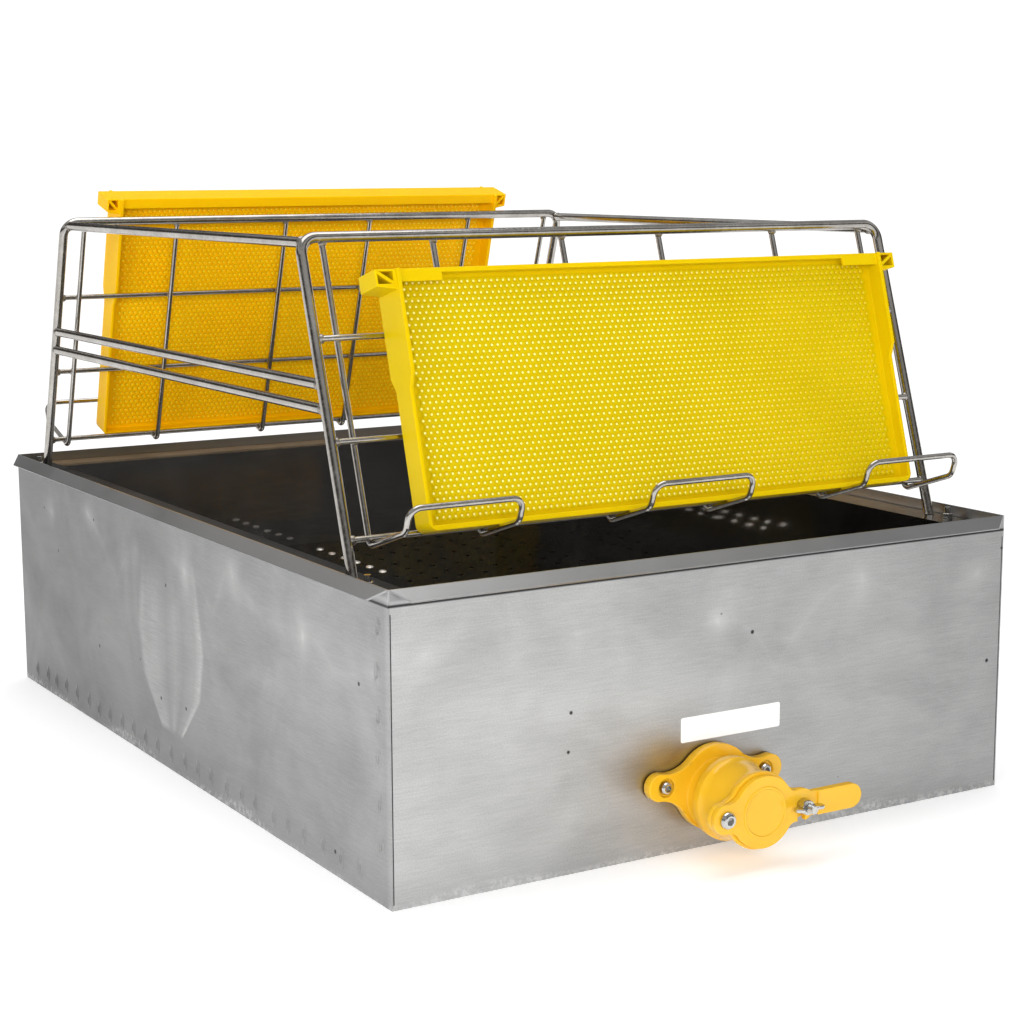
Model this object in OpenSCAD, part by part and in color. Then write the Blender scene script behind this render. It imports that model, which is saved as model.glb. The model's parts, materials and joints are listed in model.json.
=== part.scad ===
// Uncapping tank: an open sheet-steel tank with a lift-out strainer tray, a
// lift-off wire rack that holds comb frames, and a honey gate in the front wall.
// Millimetres. The origin is the centre of the underside, +Z is up, the gate is at -Y.

/* [Tank] */
// Width of the tank, outside, along the front
tank_w = 560; // [400:1:800]
// Depth of the tank, outside, front to back
tank_d = 780; // [560:1:1100]
// Height of the tank walls
tank_h = 225; // [180:1:320]
// Thickness of the wall and floor sheet
sheet_t = 1.2; // [0.8:0.1:2]
// How far the rim lip stands out
lip_out = 9.5; // [5:0.5:16]
// How far the rim lip drops
lip_drop = 8; // [4:0.5:14]
// Length of the slanted cut at each end of a lip
lip_mitre = 13; // [10:0.5:20]
// How far each lip stops short of the corner
lip_notch = 1.5; // [1.3:0.1:4]
// Width of the folds behind the side walls at the corners
seam_fold = 24; // [12:1:36]
// How far the folds stop below the rim
fold_below = 14; // [10:1:30]
// Height of the floor pan's upturned edge
pan_h = 20; // [10:1:24]

/* [Tray] */
// Depth of the tray ledge below the rim
ledge_below = 8.5; // [6:0.5:14]
// Width of the tray ledge
ledge_w = 27; // [22:0.5:40]
// Thickness of the tray sheet
tray_t = 1; // [0.8:0.1:2]
// Depth of the tray below its ledge
tray_depth = 106; // [60:1:120]
// Gap between the tray ledge and the tank wall
tray_gap = 2; // [1.7:0.1:4]
// Diameter of the strainer holes
hole_d = 5.5; // [3:0.5:8]
// Spacing of the strainer holes
hole_pitch = 28; // [24:1:60]
// Width of the plain border round the holes
hole_border = 30; // [10:1:40]
// Width of the support rail under the ledge
rail_w = 18; // [10:0.5:21]
// Height of the support rail on the wall
rail_drop = 44; // [20:0.5:60]
// Thickness of the support rail
rail_t = 1.5; // [1:0.1:3]
// Diameter of the stop studs on the ledge
stop_d = 5; // [3:0.5:8]
// Height of the stop studs
stop_h = 9; // [6:0.5:16]
// Distance of each stop stud from its rack foot
stop_ahead = 22; // [14:1:40]
// Width of the stop stud nuts across their corners
stop_nut_d = 9; // [6.5:0.5:12]
// Thickness of the stop stud nuts
stop_nut_t = 4; // [2:0.5:6]

/* [Rack] */
// Diameter of the rack's thick rod
rod_d = 8; // [6:0.5:12]
// Diameter of the rack's thin wire
wire_d = 4.5; // [3:0.5:6]
// Distance of each rack post from the tank's side wall, inside
post_in = 10.8; // [8:0.1:20]
// Distance of the front rack feet from the front wall, inside
foot_front = 73.8; // [60:0.1:110]
// Distance of the back rack feet from the back wall, inside
foot_back = 50.8; // [44:0.1:110]
// Height of the rack above the tray ledge
rack_h = 237.5; // [180:0.5:320]
// Lean of the two rack panels
rack_lean = 18; // [10:0.5:25]
// Bend radius at the hoop corners
hoop_bend = 13; // [9:0.5:24]
// Distance of the outer shelf loops from the posts
loop_in = 18.5; // [10:0.5:30]
// Width of each shelf loop
loop_w = 91; // [50:1:130]
// How far the shelf loops reach out
loop_reach = 66; // [50:1:100]
// Rise of the shelf loop's lip
lip_rise = 15; // [10:0.5:24]
// Run of the shelf loop's lip
lip_run = 11; // [6:0.5:16]
// Height of the shelf loops above the ledge, along the panel
shelf_up = 24; // [16:0.5:40]
// Bend radius of the wire at the foot of each panel
root_bend = 5.2; // [5:0.1:10]
// Bend radius of the wire at the loop's outer corners
wire_bend = 9; // [6:0.5:10]
// Height of the middle cross wire as a share of the panel
mid_wire_share = 0.4; // [0.3:0.01:0.5]
// Height of the top cross wire as a share of the panel
top_wire_share = 0.7; // [0.6:0.01:0.8]
// Height of the lower side rail as a share of the panel
low_rail_share = 0.495; // [0.4:0.005:0.51]
// Height of the upper side rail as a share of the panel
high_rail_share = 0.568; // [0.55:0.005:0.65]
// Gap left for the weld where two rods meet
weld_gap = 0.1; // [0.05:0.05:0.3]

/* [Comb frames] */
// Length of the front comb frame's body
front_comb_l = 448; // [300:1:500]
// Overhang of the front comb frame's lugs
front_lug = 16; // [10:0.5:22]
// Height of the front comb frame
front_comb_h = 189; // [150:1:220]
// How far the front comb frame sits right of the middle
front_comb_x = 9; // [-15:0.5:15]
// Height of the front comb frame's top bar sides
front_skirt = 3.5; // [3:0.5:12]
// Length of the back comb frame's body
back_comb_l = 407; // [300:1:500]
// Overhang of the back comb frame's lugs
back_lug = 12; // [8:0.5:22]
// Height of the back comb frame
back_comb_h = 240; // [190:1:260]
// How far the back comb frame sits right of the middle
back_comb_x = -8; // [-15:0.5:15]
// Height of the back comb frame's top bar sides
back_skirt = 9.5; // [4:0.5:12]
// Thickness of the side bars
bar_t = 3; // [2:0.5:5]
// Width of the side bars at the shoulders
shoulder_w = 33; // [28:0.5:38]
// Width of the side bars below the shoulders
lower_w = 22; // [16:0.5:26]
// Height of the shoulders as a share of the frame
shoulder_share = 0.4; // [0.3:0.01:0.5]
// Height over which the shoulders step in
shoulder_step = 10; // [4:0.5:20]
// Rounding of the bottom corners
comb_round = 7; // [4:0.5:12]
// Thickness of the bottom bar
bottom_t = 4; // [2:0.5:8]
// Width of the top bar
top_w = 27; // [20:0.5:30]
// Thickness of the top bar's deck and sides
deck_t = 2.5; // [1.5:0.1:4]
// Height of the lugs at their roots
lug_root = 15; // [10:0.5:20]
// Height of the lugs at their tips
lug_tip = 12.5; // [8:0.5:14]
// Thickness of the ribs round the lug pockets
lug_rib = 1.8; // [1.2:0.1:2.2]
// Length of the deep ends of the top bar's sides
end_skirt_l = 38; // [20:1:60]
// Height of the deep ends of the top bar's sides
end_skirt = 9.5; // [6:0.5:14]
// How far the lugs run into the frame's body
lug_lap = 1; // [0.5:0.1:1.5]
// Thickness of the comb foundation
sheet_comb_t = 2.4; // [1.6:0.1:4]

/* [Honey gate] */
// Position of the gate right of the middle
gate_x = -11; // [-60:1:60]
// Gap between the floor pan's rim and the gate's spigot
spigot_up = 2; // [1:0.5:40]
// Diameter of the outlet
outlet_d = 38; // [24:1:40]
// Diameter of the spigot through the wall
spigot_d = 43; // [42.5:0.5:48]
// Length of the spigot inside the wall
spigot_in = 3; // [1:0.5:8]
// Thickness of the gasket behind the flange
gasket_t = 1; // [1:0.1:3]
// How far the gasket stays inside the flange's outline
gasket_in = 2; // [0.5:0.5:3]
// Diameter of the flange hub
hub_d = 66; // [60:1:72]
// Height of the flange's middle above the outlet
flange_up = 4; // [0:0.5:5]
// Distance of each ear bolt from the flange's middle
ear_at = 46; // [44:0.5:54]
// Reach of each flange ear from the flange's middle
ear_reach = 61.5; // [58:0.5:74]
// Angle by which the ears point up
ear_tilt = 8; // [0:1:15]
// Width of the flange ears
ear_d = 21; // [18:0.5:28]
// Fillet radius between the flange hub and its ears
ear_flare = 28; // [20:1:80]
// Thickness of the flange
flange_t = 8; // [5:0.5:12]
// Diameter of the neck
neck_d = 54; // [46:1:56]
// Length of the neck
neck_l = 11.5; // [8:0.5:20]
// Diameter of the head disc
head_d = 63.5; // [58:0.5:72]
// Length of the head disc
head_l = 27; // [12:0.5:32]
// Chamfer on the head disc's edges
head_edge = 1.5; // [1:0.1:3]
// Length of the head disc's rim
head_rim = 8; // [5:0.5:9]
// Diameter of the throat behind the seat
throat_d = 54; // [48:1:56]
// Length of the throat behind the seat
throat_l = 9; // [7:0.5:20]
// Diameter of the seat plate
seat_d = 58; // [52:1:62]
// Thickness of the seat plate
seat_t = 5; // [4:0.5:8]
// Distance of the pivot and the stud from the outlet
pivot_at = 34; // [33:0.5:40]
// Diameter of the seat plate's two lobes
lobe_d = 22; // [16:0.5:24]
// Fillet radius between a round plate and its lobes
lobe_flare = 14; // [8:1:30]
// Inside diameter of the outlet seal
seal_d = 43; // [41:0.5:46]
// Width of the outlet seal
seal_w = 2.5; // [1.5:0.1:3]
// Depth of the outlet seal
seal_t = 1.8; // [1:0.1:3]
// Diameter of the blade's round cover
cover_d = 54; // [50:1:56]
// Thickness of the blade
blade_t = 5; // [4:0.5:8]
// Outside diameter of the raised ring on the blade
ring_d = 38.5; // [28:0.5:42]
// Width of the raised ring
ring_w = 1.8; // [1:0.1:6]
// Height of the raised ring
ring_t = 1; // [0.5:0.1:4]
// Height of the raised disc inside the ring
disc_t = 0.4; // [0.2:0.1:1]
// Diameter of the boss round the stud's slot
boss_d = 25; // [21:0.5:28]
// Fillet radius between the cover and the boss
boss_flare = 8; // [4:0.5:12]
// Reach of the blade's handle from the outlet
handle_reach = 89; // [70:1:110]
// Width of the blade's handle
handle_w = 18.5; // [14:0.5:20]
// Extra thickness of the handle's grip
grip_t = 1.5; // [1:0.1:4]
// Length of the handle's grip
grip_l = 41; // [16:1:42]
// Width of the slot for the stud
slot_w = 7.2; // [6.8:0.1:9]
// Diameter of the pivot and the stud
pin_d = 6; // [4:0.5:6]
// Diameter of the pivot bolt's head
pivot_head_d = 13; // [10:0.5:16]
// Height of the pivot bolt's head
pivot_head_t = 4; // [2:0.5:6]
// Width of the gate's nuts across their corners
nut_d = 11; // [9:0.5:12]
// Thickness of the gate's nuts
nut_t = 5; // [3:0.5:6]
// Diameter of the ear bolts
ear_bolt_d = 6; // [4:0.5:6]
// Diameter of the ear bolt heads
ear_head_d = 10.4; // [8:0.1:12]
// Height of the ear bolt heads
ear_head_t = 5; // [3:0.5:7]
// Diameter of the ear counterbores
ear_sink_d = 14; // [13:0.5:16]
// Depth of the ear counterbores
ear_sink = 3; // [1:0.5:4]
// Length of the stud in front of the blade
stud_out = 15; // [13:0.5:20]
// Diameter of the wing nut's hub
wing_hub_d = 11; // [9:0.5:12]
// Height of the wing nut's hub
wing_hub_t = 8; // [6:0.5:10]
// Span of the wing nut
wing_span = 26; // [20:0.5:28]
// Thickness of the wings
wing_t = 2.4; // [1.5:0.1:4]
// Diameter of the rounded wing tips
wing_tip_d = 9; // [6:0.5:10]

/* [Fits] */
// Gap between pieces that lift apart
seat_gap = 0.3; // [0.3:0.05:0.6]
// Gap round bolts in their holes
bolt_gap = 0.2; // [0.1:0.05:0.4]
// Running gap round the pivot, on the radius
run_gap = 0.05; // [0.02:0.01:0.1]
// Clearance round the spigot and the seal
fit_gap = 0.1; // [0.05:0.05:0.3]

/* [Hidden] */
$fn = 48;
// How far a cut runs past a face
over = 1;
// How much thicker a rod is in its bends, on the radius
bend_swell = 0.02;
// How far a straight rod runs into its bend
bend_lap = 0.2;
// Slope above which a rod counts as upright
steep_share = 0.9;
// How far a fillet's round bites into the ends that it joins
web_bite = 0.05;
// How far the two halves of a fillet run into each other
web_lap = 1;
// Share of a bend's radius from its corner to its middle
bend_mid_share = 1 - cos(45);

in_w = tank_w - 2 * sheet_t;
in_d = tank_d - 2 * sheet_t;
lip_angle = atan(lip_drop / lip_out);

ledge_z = tank_h - ledge_below;
tray_out_w = in_w - 2 * tray_gap;
tray_out_d = in_d - 2 * tray_gap;
tray_w = tray_out_w - 2 * ledge_w;
tray_d = tray_out_d - 2 * ledge_w;
tray_z = ledge_z - tray_depth;
rail_z = ledge_z - tray_t - seat_gap;
rail_l = in_d - 2 * seam_fold - 2 * seat_gap;
field_w = tray_w - 2 * tray_t - 2 * hole_border;
field_d = tray_d - 2 * tray_t - 2 * hole_border;
holes_x = floor(field_w / hole_pitch);
holes_y = floor(field_d / hole_pitch);

rod_r = rod_d / 2;
wire_r = wire_d / 2;
post_x = in_w / 2 - post_in;
foot_half = (in_d - foot_front - foot_back) / 2;
rack_y = (foot_front - foot_back) / 2;
loop_pitch = post_x - loop_in - loop_w / 2;
panel_l = rack_h / cos(rack_lean);
wire_off = (wire_d + weld_gap) / 2;
low_wire_up = shelf_up + root_bend;
mid_wire_up = panel_l * mid_wire_share;
top_wire_up = panel_l * top_wire_share;
butt_gap = rod_r / cos(rack_lean) + rod_r * tan(rack_lean) + weld_gap;
tie_in = hoop_bend * bend_mid_share;
stop_y = foot_half + stop_ahead;

comb_tip = atan((shoulder_w / 2 - lower_w / 2 - seat_gap) / (top_wire_up - low_wire_up));
comb_lean = rack_lean - comb_tip;
comb_up = shelf_up + wire_r + seat_gap + (lower_w / 2) * sin(comb_tip);
comb_rise = top_wire_up - comb_up;
comb_off = wire_off + wire_r + seat_gap + (shoulder_w / 2) / cos(comb_tip) - comb_rise * tan(comb_tip);

gate_z = pan_h + spigot_up + spigot_d / 2;
flange_z = gasket_t + flange_t;
head_z = flange_z + neck_l;
throat_z = head_z + head_l;
seat_z = throat_z + throat_l;
face_z = seat_z + seat_t;
blade_z = face_z + seat_gap;
front_z = blade_z + blade_t;
pin_r = pin_d / 2;
bolt_r = ear_bolt_d / 2;

// Which node to draw

// Helpers for rods and bends

function unit(v) = v / norm(v);

function side_of(z) = unit(cross(abs(z[2]) > steep_share ? [1, 0, 0] : [0, 0, 1], z));

function place(o, x, y, z) = [
  [x[0], y[0], z[0], o[0]],
  [x[1], y[1], z[1], o[1]],
  [x[2], y[2], z[2], o[2]],
  [0, 0, 0, 1]];

function half_turn(a, p, b) = acos(unit(a - p) * unit(b - p)) / 2;

function reach(pts, bends, i) = bends[i] == 0 ? 0
  : bends[i] / tan(half_turn(pts[i - 1], pts[i], pts[i + 1])) - bend_lap;

module rod(a, b, r) {
  z = unit(b - a);
  x = side_of(z);
  multmatrix(place(a, x, cross(z, x), z))
    cylinder(h = norm(b - a), r = r);
}

module bend(a, p, b, radius, r) {
  u = unit(a - p);
  v = unit(b - p);
  half = half_turn(a, p, b);
  c = p + unit(u + v) * radius / sin(half);
  x = unit(p + u * radius / tan(half) - c);
  z = unit(cross(v, u));
  multmatrix(place(c, x, cross(z, x), z))
    rotate_extrude(angle = 180 - 2 * half)
      translate([radius, 0])
        circle(r = r + bend_swell);
}

module bent_rod(pts, bends, r) {
  last = len(pts) - 1;
  for (i = [0:last - 1]) {
    d = unit(pts[i + 1] - pts[i]);
    rod(pts[i] + d * reach(pts, bends, i), pts[i + 1] - d * reach(pts, bends, i + 1), r);
  }
  for (i = [1:last - 1])
    bend(pts[i - 1], pts[i], pts[i + 1], bends[i], r);
}

// A point on a rack panel: side is -1 at the front and 1 at the back
function panel(side, x, off, up) = [x,
  rack_y + side * (foot_half - up * sin(rack_lean) + off * cos(rack_lean)),
  ledge_z + up * cos(rack_lean) + off * sin(rack_lean)];

// Tank

module box(w, d, h) {
  translate([-w / 2, -d / 2, 0])
    cube([w, d, h]);
}

module floor_pan() {
  color("silver")
    difference() {
      box(in_w, in_d, pan_h);
      translate([0, 0, sheet_t])
        box(in_w - 2 * sheet_t, in_d - 2 * sheet_t, pan_h);
    }
}

// The lip stands out along +X from the plane x = 0
module lip(l) {
  end = [lip_out, tank_h - lip_drop];
  under = [lip_out - sheet_t * sin(lip_angle), tank_h - lip_drop - sheet_t * cos(lip_angle)];
  intersection() {
    translate([0, l / 2, 0])
      rotate([90, 0, 0])
        linear_extrude(l)
          polygon([[0, tank_h], end, under, [0, tank_h - sheet_t / cos(lip_angle)]]);
    linear_extrude(tank_h)
      polygon([[0, -l / 2], [lip_out, lip_mitre - l / 2], [lip_out, l / 2 - lip_mitre], [0, l / 2]]);
  }
}

module side_wall() {
  translate([tank_w / 2 - sheet_t, -tank_d / 2, 0])
    cube([sheet_t, tank_d, tank_h]);
  translate([tank_w / 2, 0, 0])
    lip(tank_d - 2 * lip_notch);
}

module end_wall() {
  fold_z = pan_h + seat_gap;
  translate([tank_d / 2 - sheet_t, -in_w / 2, 0])
    cube([sheet_t, in_w, tank_h]);
  translate([tank_d / 2, 0, 0])
    lip(tank_w - 2 * lip_notch);
  for (s = [0, 1])
    mirror([0, s, 0])
      translate([in_d / 2 - seam_fold, in_w / 2 - sheet_t, fold_z])
        cube([seam_fold, sheet_t, tank_h - fold_below - fold_z]);
}

module right_wall() {
  color("silver") side_wall();
}

module left_wall() {
  color("silver") mirror([1, 0, 0]) side_wall();
}

module back_wall() {
  color("silver") rotate([0, 0, 90]) end_wall();
}

module front_wall() {
  color("silver")
    difference() {
      rotate([0, 0, -90]) end_wall();
      at_gate(-sheet_t - over)
        cylinder(h = sheet_t + 2 * over, r = spigot_d / 2 + fit_gap);
      at_ears(-sheet_t - over)
        cylinder(h = sheet_t + 2 * over, r = bolt_r + bolt_gap);
    }
}

module support_rail() {
  translate([in_w / 2 - rail_w, -rail_l / 2, rail_z - rail_t])
    cube([rail_w, rail_l, rail_t]);
  translate([in_w / 2 - rail_t, -rail_l / 2, rail_z - rail_drop])
    cube([rail_t, rail_l, rail_drop - rail_t]);
}

module rail_right() {
  color("silver") support_rail();
}

module rail_left() {
  color("silver") mirror([1, 0, 0]) support_rail();
}

// Honey gate: local z runs out from the front wall

module at_gate(z) {
  translate([gate_x, -tank_d / 2, gate_z])
    rotate([90, 0, 0])
      translate([0, 0, z])
        children();
}

module at_ears(z) {
  for (s = [-1, 1])
    at_gate(z)
      translate([s * ear_at * cos(ear_tilt), flange_up + ear_at * sin(ear_tilt), 0])
        children();
}

// Fillets of radius f between two round ends, at the origin and at x = d
module web(d, r1, r2, f, t) {
  a = r1 + f - web_bite;
  b = r2 + f - web_bite;
  x = (d * d + a * a - b * b) / (2 * d);
  y = sqrt(a * a - x * x);
  for (s = [-1, 1])
    difference() {
      linear_extrude(t)
        polygon([[0, -s * web_lap], [d, -s * web_lap], [x, s * y]]);
      translate([x, s * y, -over])
        cylinder(h = t + 2 * over, r = f);
    }
}

// A second round end on each side of a round plate, turned up by an angle
module lobed(d, r1, r2, f, t, tilt) {
  cylinder(h = t, r = r1);
  for (s = [0, 1])
    mirror([s, 0, 0])
      rotate([0, 0, tilt]) {
        translate([d, 0, 0])
          cylinder(h = t, r = r2);
        web(d, r1, r2, f, t);
      }
}

module flange(inset, t) {
  ear_r = ear_d / 2;
  translate([0, flange_up, 0])
    lobed(ear_reach - ear_r, hub_d / 2 - inset, ear_r - inset, ear_flare + inset, t, ear_tilt);
}

module gate_gasket() {
  color("dimgray")
    difference() {
      at_gate(0)
        flange(gasket_in, gasket_t);
      at_gate(-over)
        cylinder(h = gasket_t + 2 * over, r = spigot_d / 2 + fit_gap);
      at_ears(-over)
        cylinder(h = gasket_t + 2 * over, r = bolt_r + bolt_gap);
    }
}

module head_disc() {
  outer = head_d / 2;
  rotate_extrude()
    polygon([[0, 0], [outer - head_edge, 0], [outer, head_edge], [outer, head_rim],
      [outer - head_edge, head_rim + head_edge], [throat_d / 2, head_l], [0, head_l]]);
}

module gate_solid() {
  translate([0, 0, -sheet_t - spigot_in])
    cylinder(h = sheet_t + spigot_in + gasket_t, d = spigot_d);
  translate([0, 0, gasket_t])
    flange(0, flange_t);
  translate([0, 0, flange_z])
    cylinder(h = neck_l, d = neck_d);
  translate([0, 0, head_z])
    head_disc();
  translate([0, 0, throat_z])
    cylinder(h = throat_l, d = throat_d);
  translate([0, 0, seat_z])
    lobed(pivot_at, seat_d / 2, lobe_d / 2, lobe_flare, seat_t, 0);
}

module gate_housing() {
  bore_l = sheet_t + spigot_in + face_z + 2 * over;
  color("gold")
    difference() {
      at_gate(0)
        gate_solid();
      at_gate(-sheet_t - spigot_in - over)
        cylinder(h = bore_l, d = outlet_d);
      at_ears(0)
        cylinder(h = flange_z + over, r = bolt_r + bolt_gap);
      at_ears(flange_z - ear_sink)
        cylinder(h = ear_sink + over, d = ear_sink_d);
      for (s = [-1, 1])
        at_gate(seat_z - over)
          translate([s * pivot_at, 0, 0])
            cylinder(h = seat_t + 2 * over, r = pin_r + bolt_gap);
      at_gate(face_z - seal_t - fit_gap)
        difference() {
          cylinder(h = seal_t + fit_gap + over, r = seal_d / 2 + seal_w + fit_gap);
          translate([0, 0, -over])
            cylinder(h = seal_t + fit_gap + 2 * over + over, r = seal_d / 2 - fit_gap);
        }
    }
}

module outlet_seal() {
  color("dimgray")
    at_gate(face_z - seal_t)
      difference() {
        cylinder(h = seal_t, r = seal_d / 2 + seal_w);
        translate([0, 0, -over])
          cylinder(h = seal_t + 2 * over, d = seal_d);
      }
}

module ear_bolts() {
  sink_z = flange_z - ear_sink;
  color("silver") {
    at_ears(sink_z)
      cylinder(h = ear_head_t, d = ear_head_d);
    at_ears(-sheet_t - nut_t - over)
      cylinder(h = sheet_t + nut_t + over + sink_z, r = bolt_r);
  }
}

module ear_nuts() {
  color("silver")
    difference() {
      at_ears(-sheet_t - nut_t)
        cylinder(h = nut_t, d = nut_d, $fn = 6);
      at_ears(-sheet_t - nut_t - over)
        cylinder(h = nut_t + 2 * over, r = bolt_r + fit_gap);
    }
}

module pivot_bolt() {
  head_at = front_z + seat_gap;
  color("silver")
    at_gate(0)
      translate([-pivot_at, 0, 0]) {
        translate([0, 0, head_at])
          cylinder(h = pivot_head_t, d = pivot_head_d);
        translate([0, 0, seat_z - nut_t - over])
          cylinder(h = head_at - seat_z + nut_t + over, r = pin_r);
      }
}

module pivot_nut() {
  color("silver")
    at_gate(seat_z - nut_t)
      translate([-pivot_at, 0, 0])
        difference() {
          cylinder(h = nut_t, d = nut_d, $fn = 6);
          translate([0, 0, -over])
            cylinder(h = nut_t + 2 * over, r = pin_r + fit_gap);
        }
}

module clamp_stud() {
  color("silver")
    at_gate(0)
      translate([pivot_at, 0, 0]) {
        translate([0, 0, seat_z - nut_t])
          cylinder(h = nut_t, d = nut_d, $fn = 6);
        translate([0, 0, seat_z])
          cylinder(h = front_z - seat_z + stud_out, r = pin_r);
      }
}

module handle(from, t) {
  end = handle_reach - handle_w / 2;
  translate([from, -handle_w / 2, 0])
    cube([end - from, handle_w, t]);
  translate([end, 0, 0])
    cylinder(h = t, d = handle_w);
}

module blade_plate() {
  cover_r = cover_d / 2;
  boss_r = boss_d / 2;
  cylinder(h = blade_t, r = cover_r);
  mirror([1, 0, 0]) {
    translate([pivot_at, 0, 0])
      cylinder(h = blade_t, d = lobe_d);
    web(pivot_at, cover_r, lobe_d / 2, lobe_flare, blade_t);
  }
  translate([pivot_at, 0, 0])
    cylinder(h = blade_t, r = boss_r);
  web(pivot_at, cover_r, boss_r, boss_flare, blade_t);
  handle(0, blade_t);
}

module gate_blade() {
  color("gold")
    at_gate(blade_z)
      difference() {
        union() {
          blade_plate();
          translate([0, 0, blade_t])
            linear_extrude(ring_t)
              difference() {
                circle(d = ring_d);
                circle(d = ring_d - 2 * ring_w);
              }
          translate([0, 0, blade_t])
            cylinder(h = disc_t, d = ring_d - 2 * ring_w);
          translate([0, 0, blade_t])
            handle(handle_reach - grip_l, grip_t);
        }
        translate([-pivot_at, 0, -over])
          cylinder(h = blade_t + 2 * over, r = pin_r + run_gap);
        translate([pivot_at, 0, -over])
          cylinder(h = blade_t + 2 * over, d = slot_w);
        translate([pivot_at - slot_w / 2, -cover_d, -over])
          cube([slot_w, cover_d, blade_t + 2 * over]);
      }
}

module wing_nut() {
  wing_at = wing_span / 2 - wing_tip_d / 2;
  color("silver")
    at_gate(front_z + seat_gap)
      translate([pivot_at, 0, 0])
        difference() {
          union() {
            cylinder(h = wing_hub_t, d = wing_hub_d);
            for (s = [-1, 1])
              translate([0, wing_t / 2, 0])
                rotate([90, 0, 0])
                  linear_extrude(wing_t) {
                    translate([s * wing_at, wing_hub_t])
                      circle(d = wing_tip_d);
                    polygon([[0, wing_hub_t / 2], [s * wing_at, wing_hub_t - wing_tip_d / 2],
                      [s * wing_at, wing_hub_t + wing_tip_d / 2], [0, wing_hub_t]]);
                  }
          }
          translate([0, 0, -over])
            cylinder(h = wing_hub_t + wing_tip_d, r = pin_r + run_gap);
        }
}

// Strainer tray

module tray_floor() {
  color("gray")
    translate([0, 0, tray_z])
      linear_extrude(tray_t)
        difference() {
          square([tray_w - 2 * tray_t, tray_d - 2 * tray_t], center = true);
          for (i = [0:holes_x], j = [0:holes_y])
            translate([(i - holes_x / 2) * hole_pitch, (j - holes_y / 2) * hole_pitch])
              circle(d = hole_d);
        }
}

module tray_side() {
  translate([tray_w / 2 - tray_t, -tray_d / 2, tray_z])
    cube([tray_t, tray_d, tray_depth]);
  translate([tray_w / 2, -tray_out_d / 2, ledge_z - tray_t])
    cube([ledge_w, tray_out_d, tray_t]);
}

module tray_end() {
  translate([tray_d / 2 - tray_t, tray_t - tray_w / 2, tray_z])
    cube([tray_t, tray_w - 2 * tray_t, tray_depth]);
  translate([tray_d / 2, -tray_w / 2, ledge_z - tray_t])
    cube([ledge_w, tray_w, tray_t]);
}

module tray_right() {
  color("gray") tray_side();
}

module tray_left() {
  color("gray") mirror([1, 0, 0]) tray_side();
}

module tray_back() {
  color("gray") rotate([0, 0, 90]) tray_end();
}

module tray_front() {
  color("gray") rotate([0, 0, -90]) tray_end();
}

module at_stops() {
  for (sx = [-1, 1], sy = [-1, 1])
    translate([sx * post_x, rack_y + sy * stop_y, ledge_z])
      children();
}

module stop_studs() {
  color("silver")
    at_stops()
      cylinder(h = stop_h, d = stop_d);
}

module stop_nuts() {
  color("silver")
    at_stops()
      difference() {
        cylinder(h = stop_nut_t, d = stop_nut_d, $fn = 6);
        translate([0, 0, -over])
          cylinder(h = stop_nut_t + 2 * over, r = stop_d / 2 + fit_gap);
      }
}

// Rack

module hoop(side) {
  bury = rod_d;
  color("silver")
    difference() {
      bent_rod([panel(side, -post_x, 0, -bury), panel(side, -post_x, 0, panel_l),
        panel(side, post_x, 0, panel_l), panel(side, post_x, 0, -bury)],
        [0, hoop_bend, hoop_bend, 0], rod_r);
      translate([0, rack_y + side * foot_half, ledge_z + seat_gap - 3 * rod_d])
        box(2 * post_x + 4 * rod_d, 4 * rod_d, 3 * rod_d);
    }
}

module front_hoop() {
  hoop(-1);
}

module back_hoop() {
  hoop(1);
}

// A rod from the front panel to the back panel
module tie(x, up) {
  front = panel(-1, x, 0, up);
  back = panel(1, x, 0, up);
  color("silver")
    rod(front + [0, butt_gap, 0], back - [0, butt_gap, 0], rod_r);
}

module tie_left() {
  tie(tie_in - post_x, panel_l - tie_in);
}

module tie_right() {
  tie(post_x - tie_in, panel_l - tie_in);
}

module side_rail_low() {
  tie(-post_x, panel_l * low_rail_share);
}

module side_rail_high() {
  tie(-post_x, panel_l * high_rail_share);
}

module loop(side, x) {
  half = loop_w / 2;
  head = panel_l - rod_r - weld_gap;
  toe = loop_reach - lip_run;
  color("silver")
    bent_rod([
      panel(side, x - half, -wire_off, head),
      panel(side, x - half, -wire_off, shelf_up),
      panel(side, x - half, toe, shelf_up),
      panel(side, x - half, loop_reach, shelf_up + lip_rise),
      panel(side, x + half, loop_reach, shelf_up + lip_rise),
      panel(side, x + half, toe, shelf_up),
      panel(side, x + half, -wire_off, shelf_up),
      panel(side, x + half, -wire_off, head)],
      [0, root_bend, wire_bend, wire_bend, wire_bend, wire_bend, root_bend, 0], wire_r);
}

module front_loop_left() {
  loop(-1, -loop_pitch);
}

module front_loop_middle() {
  loop(-1, 0);
}

module front_loop_right() {
  loop(-1, loop_pitch);
}

module back_loop_left() {
  loop(1, -loop_pitch);
}

module back_loop_middle() {
  loop(1, 0);
}

module back_loop_right() {
  loop(1, loop_pitch);
}

module cross_wire(side, up) {
  end = post_x - rod_r - weld_gap;
  color("silver")
    rod(panel(side, -end, wire_off, up), panel(side, end, wire_off, up), wire_r);
}

module front_wire_low() {
  cross_wire(-1, low_wire_up);
}

module front_wire_mid() {
  cross_wire(-1, mid_wire_up);
}

module front_wire_top() {
  cross_wire(-1, top_wire_up);
}

module back_wire_low() {
  cross_wire(1, low_wire_up);
}

module back_wire_mid() {
  cross_wire(1, mid_wire_up);
}

module back_wire_top() {
  cross_wire(1, top_wire_up);
}

// Comb frames: built upright on z = 0, then leaned on the rack

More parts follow.
